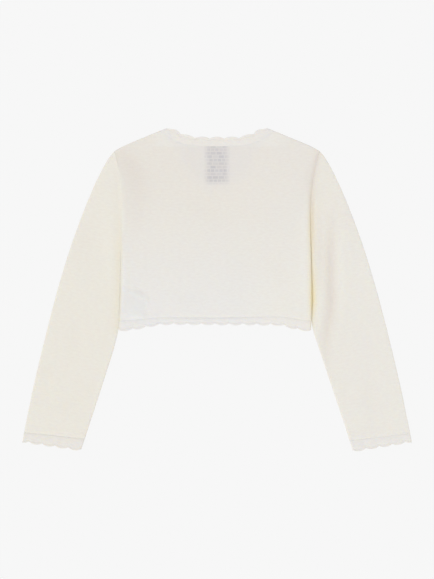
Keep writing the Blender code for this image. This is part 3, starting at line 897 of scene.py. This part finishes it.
# %% [markdown]
# ### Round the cuffs
# The cuff's edging goes on from the sleeve's tube, all the way round.

# %% Cuff edging
def make_cuff(side):
    """Makes the edging round one cuff, from its seam to the scallops."""
    lay, length, width_at = sleeve_surface(side)
    rows = np.linspace(1 - max(CUFF_EDGING[side]) / length, 1, EDGING_ROWS + 1)
    widths = width_at(rows)
    ways = rows_round(widths, SCALLOP_GRID)

    def place(column, row):
        way, share = ways[row, column], row / EDGING_ROWS
        high = cuff_width(side, way)
        t = 1 - high / length * (1 - share)
        count = way / 2 * CUFF_SCALLOPS
        points, lying, width = lay(t, way, scallop(count) * share)
        level = np.minimum(roundness(way * width), roundness(np.abs(1 - way) * width))
        lift = edging_relief(count, share, high, CUFF_DIP[side])
        points[:, 2] += np.where(way <= 1, level * lift, 0)
        return points, np.column_stack([(way - 1) * width, t * length]), lying

    cut = (2 * widths.mean(), max(CUFF_EDGING[side]) + SCALLOP_DEPTH)
    columns, turned = ways.shape[1], side == "right"
    cloth("cuff_edging_" + side, columns, len(rows), place, turned, True, cut, FREE_EDGE_ROUND)


for side in SIDES:
    make_cuff(side)

# %% [markdown]
# ## Ivory knit
# Fine knit is rows of small V-shaped loops of matt cotton yarn. The pattern is built from the
# cut's own millimetres: a ping-pong across the loops makes the two legs of each V, a second one
# up the cloth repeats them, and the legs slope because the first is subtracted before the second
# is taken. These loops are about 1.4 by 1.1 mm, finer than one pixel of the picture, so they are
# drawn half as large again. Uneven yarn gives faint streaks along the rows, and a nap gives sheen.

# %% Knit material
WALE = 2.2  # mm, width of one loop as drawn
COURSE = 1.7  # mm, height of one loop as drawn
LEG_SLOPE = 1.1  # how steeply a leg of the V climbs
LOOP_POWER = 0.6  # below 1 the loops are broad and the hollows between them narrow
LOOP_RELIEF = 0.22  # mm
STREAK = (6.5, 2.8)  # mm, size of the yarn's unevenness along and across the rows
STREAK_RANGE = (0.3, 0.7)  # the noise from which the yarn goes from its light to its dark tone
STREAK_TONE, SHADE_TONE = 0.45, 0.6  # share of the shade that streaks and the broad mask give
# Painted shade in the hollows between the loops: its tint and its share.
HOLLOW_SHADE = ("#b9a982", 0.10)  # tint between the loops, and its share
WARM_CAST = (1.0, 0.955, 0.84, 1.0)  # what ivory takes from white light, beyond the yarn's tone
# Painted shade: the gaps beside the body are made darker and warmer with this cast, for the dim light
# that reaches them through the cloth.
GAP_SHADE_CAST = (1.0, 0.93, 0.72, 1.0)  # and what it takes away where light comes through the cloth
COTTON = {  # matt, with a nap, and with light that goes into the yarn and comes out beside it
    "Roughness": 0.92, "Specular IOR Level": 0.15,
    "Sheen Weight": 0.12, "Sheen Roughness": 0.6, "Sheen Tint": linear("#fff8ea"),
    "Subsurface Weight": 0.15, "Subsurface Radius": (1.0, 0.75, 0.4), "Subsurface Scale": 2.0 * MM,
}


def maths(tree, operation, *values):
    """The result of one arithmetic step."""
    return add(tree, "Math", dict(enumerate(values)), operation=operation).outputs[0]


def blend(tree, factor, first, second, blend_type="MIX"):
    """A mix of two colours."""
    inputs, settings = {0: factor, 6: first, 7: second}, {"data_type": "RGBA", "clamp_factor": False}
    return add(tree, "Mix", inputs, blend_type=blend_type, **settings).outputs[2]


def tint(tree, where, colour, tinted, share):
    """Gives a colour a share of another one, where a mask is 1."""
    return blend(tree, maths(tree, "MULTIPLY", where, share), colour, linear(tinted))


def mask(tree, name):
    """A number that is kept at each point of a piece."""
    return add(tree, "Attribute", attribute_name=name).outputs["Fac"]


def knit_pattern(tree):
    """The loops' height from 0 to 1, and the noise of the yarn, both on the flat cut."""
    cut = add(tree, "UVMap", uv_map="cut").outputs[0]
    place = add(tree, "SeparateXYZ", {0: cut})
    across, up = place.outputs[0], place.outputs[1]
    legs = maths(tree, "DIVIDE", maths(tree, "PINGPONG", across, WALE / 4), WALE / 4)
    slant = maths(tree, "MULTIPLY", maths(tree, "PINGPONG", across, WALE / 2), LEG_SLOPE)
    climbed = maths(tree, "SUBTRACT", up, slant)
    loops = maths(tree, "DIVIDE", maths(tree, "PINGPONG", climbed, COURSE / 2), COURSE / 2)
    height = maths(tree, "POWER", maths(tree, "MULTIPLY", legs, loops), LOOP_POWER)
    stretched = add(tree, "Mapping", {0: cut, "Scale": (1 / STREAK[0], 1 / STREAK[1], 1)})
    streaks = add(tree, "TexNoise", {"Vector": stretched.outputs[0], "Scale": 1.0, "Detail": 3.0})
    return height, streaks.outputs[0]


def knit_colour(tree, light, shade, streaks, height):
    """Streaks in a broad shade that holds the painted crease shading, a warm cast where the cloth
    isn't cool, painted warm shade deep in a gap, and painted shade in the hollows between the loops."""
    low, high = STREAK_RANGE
    tone = add(tree, "MapRange", {0: streaks, 1: low, 2: high, 3: 0.0, 4: STREAK_TONE}).outputs[0]
    # the shade mask also carries the painted shading of the creases
    tone = maths(tree, "ADD", tone, maths(tree, "MULTIPLY", mask(tree, "shade"), SHADE_TONE))
    colour = blend(tree, tone, linear(light), linear(shade))
    warmth = maths(tree, "SUBTRACT", 1.0, mask(tree, "cool"))
    colour = blend(tree, warmth, colour, WARM_CAST, "MULTIPLY")
    # painted shade deep in the gaps beside the body
    colour = blend(tree, mask(tree, "deep"), colour, GAP_SHADE_CAST, "MULTIPLY")
    # painted shade in the hollows between the loops
    return tint(tree, maths(tree, "SUBTRACT", 1.0, height), colour, *HOLLOW_SHADE)


def knit_material(name, light, shade, shown_through_and_shade=None):
    """A knit with its loops in relief and the painted shade of knit_colour, and with what shows through
    it and the painted shade over the neck opening, if they are given.
    """
    material, tree = new_material(name)
    height, streaks = knit_pattern(tree)
    colour = knit_colour(tree, light, shade, streaks, height)
    if shown_through_and_shade:
        colour = shown_through_and_shade(tree, colour)
    bump = add(tree, "Bump", {"Height": height, "Distance": LOOP_RELIEF * MM, "Strength": 0.6})
    end_material(tree, {"Base Color": colour, "Normal": bump.outputs[0], **COTTON})
    return material


YARN = ("#f2f2ef", "#ebe8e5")  # its light and its dark tone
EDGING_YARN = ("#f2f1f0", "#e9e7e6")
knit = knit_material("fine cotton knit, ivory", *YARN)
edging_knit = knit_material("close knitted edging, ivory", *EDGING_YARN)
print("loops drawn at", WALE, "x", COURSE, "mm")

# %% [markdown]
# ## What shows through the back
# The cloth is thin. Below the neck a print on the inside of the back shows through as a grey
# block. Here it is rows of plain bars. Where no front lies below the back, the colour is painted a
# little greyer, as painted shade for the one thin layer of ivory over the white floor. Such masks
# are worked out at each point of a piece, and kept on its mesh as attributes that the material
# reads. Two more say how neutral and how grey the ivory looks, in soft patches, and the grey one
# also holds the painted shading of the creases. A last one is painted shade deep in the gaps
# between the body and the sleeves.

# %% Masks on the pieces
PRINT_SIZE = (32.0, 57.0)  # mm
PRINT_TOP = 217.0  # mm up
PRINT_BAR = (9.0, 5.2)  # mm, a bar with the gap beside it and below it
PRINT_GAP = 1.2  # mm, that gap


def mark(piece, name, values_at):
    """Keeps a number at each point of a piece, worked out from where the point lies in mm."""
    mesh = piece.data
    co = np.empty(len(mesh.vertices) * 3)
    mesh.vertices.foreach_get("co", co)
    values = values_at(co.reshape(-1, 3) / MM)
    mesh.attributes.new(name, "FLOAT", "POINT").data.foreach_set("value", values.astype(np.float32))
    print(f"{name}: {values.mean():.3f} on average")


OPENING_EDGE = (-12, 16)  # mm over the neckline where that mask begins, and where it is full
BODY, SLEEVES = ("out", 158, 138), ("out", 138, 158)  # a fade is a direction, a start and an end
TO_RIGHT, TO_HEM = ("across", 0, 110), ("up", 150, -40)
NECK_EDGING = (("out", 110, 80), ("up", 212, 216))
COOL = [  # how neutral it looks: warm on the sleeves and at the shoulders, cool above the hem
    (0.54,),
    (0.1, TO_RIGHT),
    (0.1, ("across", 160, 210)),
    (0.13, ("up", -210, -235)),
    (0.15, BODY),
    (0.34, BODY, TO_HEM),
    (-0.38, BODY, TO_HEM, TO_RIGHT),
    (0.1, *NECK_EDGING),
]
SHADE = [  # how grey it looks: most at the top of the back, and least above the hem
    (0.5,),
    (0.35, BODY),
    (0.4, BODY, ("up", 60, 200)),
    (-0.2, BODY, ("up", 60, -40)),
    (-0.3, BODY, ("across", 20, 80), ("up", 100, 0)),
    (0.08, SLEEVES, ("across", 0, 160)),
    (0.14, SLEEVES, ("across", 0, 160), ("up", 40, 150)),
    (0.22, SLEEVES, ("up", -205, -225)),
    (-0.45, *NECK_EDGING),
]


def single_layer_shade(points):
    """1 over the opening between the front necklines, with a soft edge."""
    neckline = both_halves(FRONT_NECK_EDGE)
    gap = nearest(points[:, :2], neckline)[0]
    over = points[:, 1] > height_at(neckline, points[:, 0])
    return fade(np.where(over, gap, -gap), *OPENING_EDGE)


def patches(table, points):
    """The sum of soft patches: each is an amount, times the fades that keep it in its place."""
    x, y = points[:, :2].T
    way = {"across": x, "out": np.abs(x), "up": y}
    return sum(
        amount * math.prod(fade(way[name], *ends) for name, *ends in fades) for amount, *fades in table
    )


# Painted shade: the colour is made greyer for each millimetre of a crease's depth, for the shade that
# the soft light leaves in it.
CREASE_SHADING = 0.65  # how much greyer for each millimetre of a crease's depth


def painted_crease_shading(name, points):
    """Painted shade and painted light: how much greyer the colour of a piece's upper layer is made in a
    trough, and how much lighter on a ridge.
    """
    return -CREASE_SHADING * relief(name, points[:, :2]) * fade(points[:, 2], WALL, 2 * WALL)


# Painted shade in the gaps between the body and the sleeves: its widths and, going up, its strength.
GAP_SHADE_WIDTH = {"left": (9.0, 2.0), "right": (6.5, 4.5)}  # mm to the sleeve's side and the body's
GAP_SHADE = {  # (height, share of the light that comes through the cloth there), going up
    "left": [(-75, 0), (-52, 0.4), (0, 0.45), (60, 0.4), (100, 0.2), (150, 0.08), (195, 0)],
    "right": [(-75, 0), (-48, 0.35), (-34, 0.7), (-16, 1.2), (5, 1.0), (44, 0.6), (89, 0.7)]
    + [(115, 0.55), (134, 0.3), (165, 0.1), (200, 0)],
}


def painted_gap_shade(points):
    """Painted shade in the gaps beside the body: how strongly the colour there is made darker and
    warmer, for the dim light that comes through the cloth.
    """
    total = np.zeros(len(points))
    for side, widths in GAP_SHADE_WIDTH.items():
        gap = nearest(points[:, :2], BODY_EDGE[side])[0]
        beyond = SIDES[side] * (points[:, 0] - across_at(BODY_EDGE[side], points[:, 1])) > 0
        share = np.interp(points[:, 1], *zip(*GAP_SHADE[side]))
        total += share * bell(gap, np.where(beyond, *widths))
    return total


mark(back, "single_layer_shade", single_layer_shade)
mark(back, "tag", lambda points: inside(points[:, :2], TAG, TAG_TONE_EDGE))
for name, (piece, *_) in sheets.items():
    mark(piece, "cool", lambda points: patches(COOL, points))
    # shade holds the grey patches and the painted shading of the creases
    mark(piece, "shade", lambda points: patches(SHADE, points) + painted_crease_shading(name, points))
    # deep is the painted shade in the gaps beside the body
    mark(piece, "deep", painted_gap_shade)

# %% Back's material, outside and inside
PRINT_INK = "#787a96"
# OPENING_SHADE is painted shade: the colour over the neck opening is made greyer, where one thin layer
# lies over the floor.
OPENING_SHADE, TAG_TINT = ("#dcdcdf", 0.35), ("#e4e4e3", 0.4)  # each with its share
DIM, GAP_DIM = (0.5, 0.5, 0.5, 1), (0.3, 0.3, 0.3, 1)  # ink of the palest bars, and between bars


def print_bars(tree, soft):
    """Rows of plain bars in the print's place, from 0 to 1."""
    where = add(tree, "TexCoord").outputs["Object"]
    corner = (PRINT_SIZE[0] / 2 * MM, (PRINT_SIZE[1] - PRINT_TOP) * MM, 0)
    moved = add(tree, "VectorMath", {0: where, 1: corner}, operation="ADD").outputs[0]
    place = add(tree, "SeparateXYZ", {0: moved})
    bar = {"Color1": WHITE, "Color2": DIM, "Scale": 1.0}
    bar |= {"Brick Width": PRINT_BAR[0] * MM, "Row Height": PRINT_BAR[1] * MM}
    gap = {"Mortar": GAP_DIM, "Mortar Size": PRINT_GAP * MM, "Mortar Smooth": 1.0}
    shifts = {"offset": 0.37, "squash": 0.7, "squash_frequency": 3}  # make the rows differ
    bars = add(tree, "TexBrick", {"Vector": moved, **bar, **gap}, **shifts).outputs["Color"]
    for axis, size in enumerate(PRINT_SIZE):
        for start, end in ((-soft, soft), (size + soft, size - soft)):
            inputs = {0: place.outputs[axis], 1: start * MM, 2: end * MM}
            bars = maths(tree, "MULTIPLY", bars, add(tree, "MapRange", inputs).outputs[0])
    return bars


def back_knit(name, ink_share, soft):
    """The knit of the back, with a share of the print's ink, soft over a width in mm at its edge."""

    def shown_through_and_shade(tree, colour):
        # painted shade over the neck opening, where only one layer lies
        colour = tint(tree, mask(tree, "single_layer_shade"), colour, *OPENING_SHADE)
        colour = tint(tree, mask(tree, "tag"), colour, *TAG_TINT)
        return tint(tree, print_bars(tree, soft), colour, PRINT_INK, ink_share)

    return knit_material(name, *YARN, shown_through_and_shade)


knit_outside = back_knit("fine cotton knit, ivory, print showing through", ink_share=0.32, soft=4.5)
knit_inside = back_knit("fine cotton knit, ivory, printed bars", ink_share=0.95, soft=0.3)
print("print's ink:", PRINT_INK)

# %% [markdown]
# ## Dressing the model
# Each sheet takes the place of its solid and rides on the one body there is.

# %% Materials, and each sheet in its solid's place
for name, (piece, flat, area) in sheets.items():
    trimming = "edging" in name or "band" in name
    both = (knit_outside, knit_inside) if name == "back" else (edging_knit if trimming else knit,) * 2
    for material in both:
        piece.data.materials.append(material)
    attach(piece, "root")
    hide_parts(name)
    area = min(area, flat[0] * flat[1])
print("sheets:", len(sheets))
